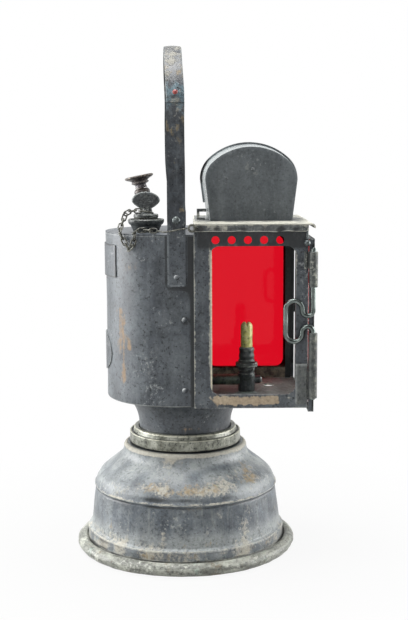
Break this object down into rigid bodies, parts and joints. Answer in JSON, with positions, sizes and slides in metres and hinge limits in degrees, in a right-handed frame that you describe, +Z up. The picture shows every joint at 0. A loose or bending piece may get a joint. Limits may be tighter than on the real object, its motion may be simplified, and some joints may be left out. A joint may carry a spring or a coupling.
{
  "type": "railway_hand_lantern",
  "caption": "Acetylene railway hand lantern with a bell-shaped carbide base, water tank, red-glazed lamp box, smoke hood and tall strap bail.",
  "frame": {"origin": "on the base's axis, at the floor", "axes": "+Z up, +X towards the front door, -Y towards the open window"},
  "size_m": [0.1806, 0.169, 0.3825],
  "materials": {
    "dark_paint": "worn satin",
    "worn_steel": "worn through to bare metal",
    "bare_steel": "tarnished",
    "old_brass": "tarnished",
    "burner_brass": "dull",
    "rubber": "matte",
    "red_glass": "clear",
    "clear_glass": "clear"
  },
  "bodies": {
    "base": {"base_rim": "worn_steel", "base_plate": "dark_paint", "carbide_bowl": "worn_steel"},
    "head": {"neck_gasket": "rubber", "tank_neck": "dark_paint", "tank_wall": "dark_paint", "tank_floor": "dark_paint", "tank_lid": "dark_paint", "name_plate": "dark_paint", "rear_badge": "dark_paint", "body_rivets": "bare_steel", "filler_neck": "dark_paint", "plug_ring": "bare_steel", "plug_chain": "bare_steel", "chain_wire": "bare_steel", "chain_eye": "bare_steel", "valve_gland": "old_brass", "gland_nut": "old_brass", "drip_tube": "old_brass", "partition": "dark_paint", "near_panel": "dark_paint", "far_panel": "dark_paint", "box_floor": "worn_steel", "front_lintel": "dark_paint", "roof": "worn_steel", "red_glass": "red_glass", "glass_guides": "dark_paint", "gas_pipe": "old_brass", "burner_body": "dark_paint", "burner_holder": "dark_paint", "burner_tip": "burner_brass", "chimney_collar": "worn_steel", "hood_front": "dark_paint", "hood_vault": "worn_steel", "hood_rear": "dark_paint", "hood_stay": "worn_steel", "box_knuckles": "worn_steel", "door_catch": "bare_steel", "lug_near": "dark_paint", "lug_far": "dark_paint", "pivot_rivets": "bare_steel"},
    "nut": {"union_nut": "old_brass"},
    "plug": {"filler_plug": "dark_paint", "plug_seal": "rubber"},
    "valve": {"valve_spindle": "old_brass", "valve_knob": "old_brass"},
    "bail": {"bail_strap_near": "dark_paint", "bail_strap_far": "dark_paint", "bail_grip": "worn_steel", "grip_rivets": "bare_steel"},
    "door": {"door_frame": "dark_paint", "door_glass": "clear_glass", "glass_clips": "bare_steel", "door_knuckles": "worn_steel"},
    "pin": {"hinge_pin": "bare_steel"}
  },
  "joints": [
    {"name": "head_lift", "type": "slide", "parent": "base", "child": "head", "axis": [0, 0, 1], "range_m": [0, 0.08]},
    {"name": "nut_turn", "type": "hinge", "parent": "head", "child": "nut", "pos_m": [0, 0, 0.0872], "axis": [0, 0, 1], "continuous": true},
    {"name": "plug_turn", "type": "hinge", "parent": "head", "child": "plug", "pos_m": [-0.028, -0.018, 0.2561], "axis": [0, 0, -1], "range_deg": [0, 90]},
    {"name": "valve_turn", "type": "hinge", "parent": "head", "child": "valve", "pos_m": [0, 0, 0.12144], "axis": [-0.2026, 0.0468, 0.9781], "range_deg": [0, 720]},
    {"name": "bail_swing", "type": "hinge", "parent": "head", "child": "bail", "pos_m": [-0.005, 0, 0.25604], "axis": [0, 1, 0], "range_deg": [-90, 65]},
    {"name": "door_swing", "type": "hinge", "parent": "head", "child": "door", "pos_m": [0.0929, -0.06, 0.18], "axis": [0, 0, -1], "range_deg": [0, 110]},
    {"name": "pin_turn", "type": "hinge", "parent": "head", "child": "pin", "pos_m": [0.0929, -0.06, 0.18], "axis": [0, 0, 1], "range_deg": [0, 90]}
  ]
}
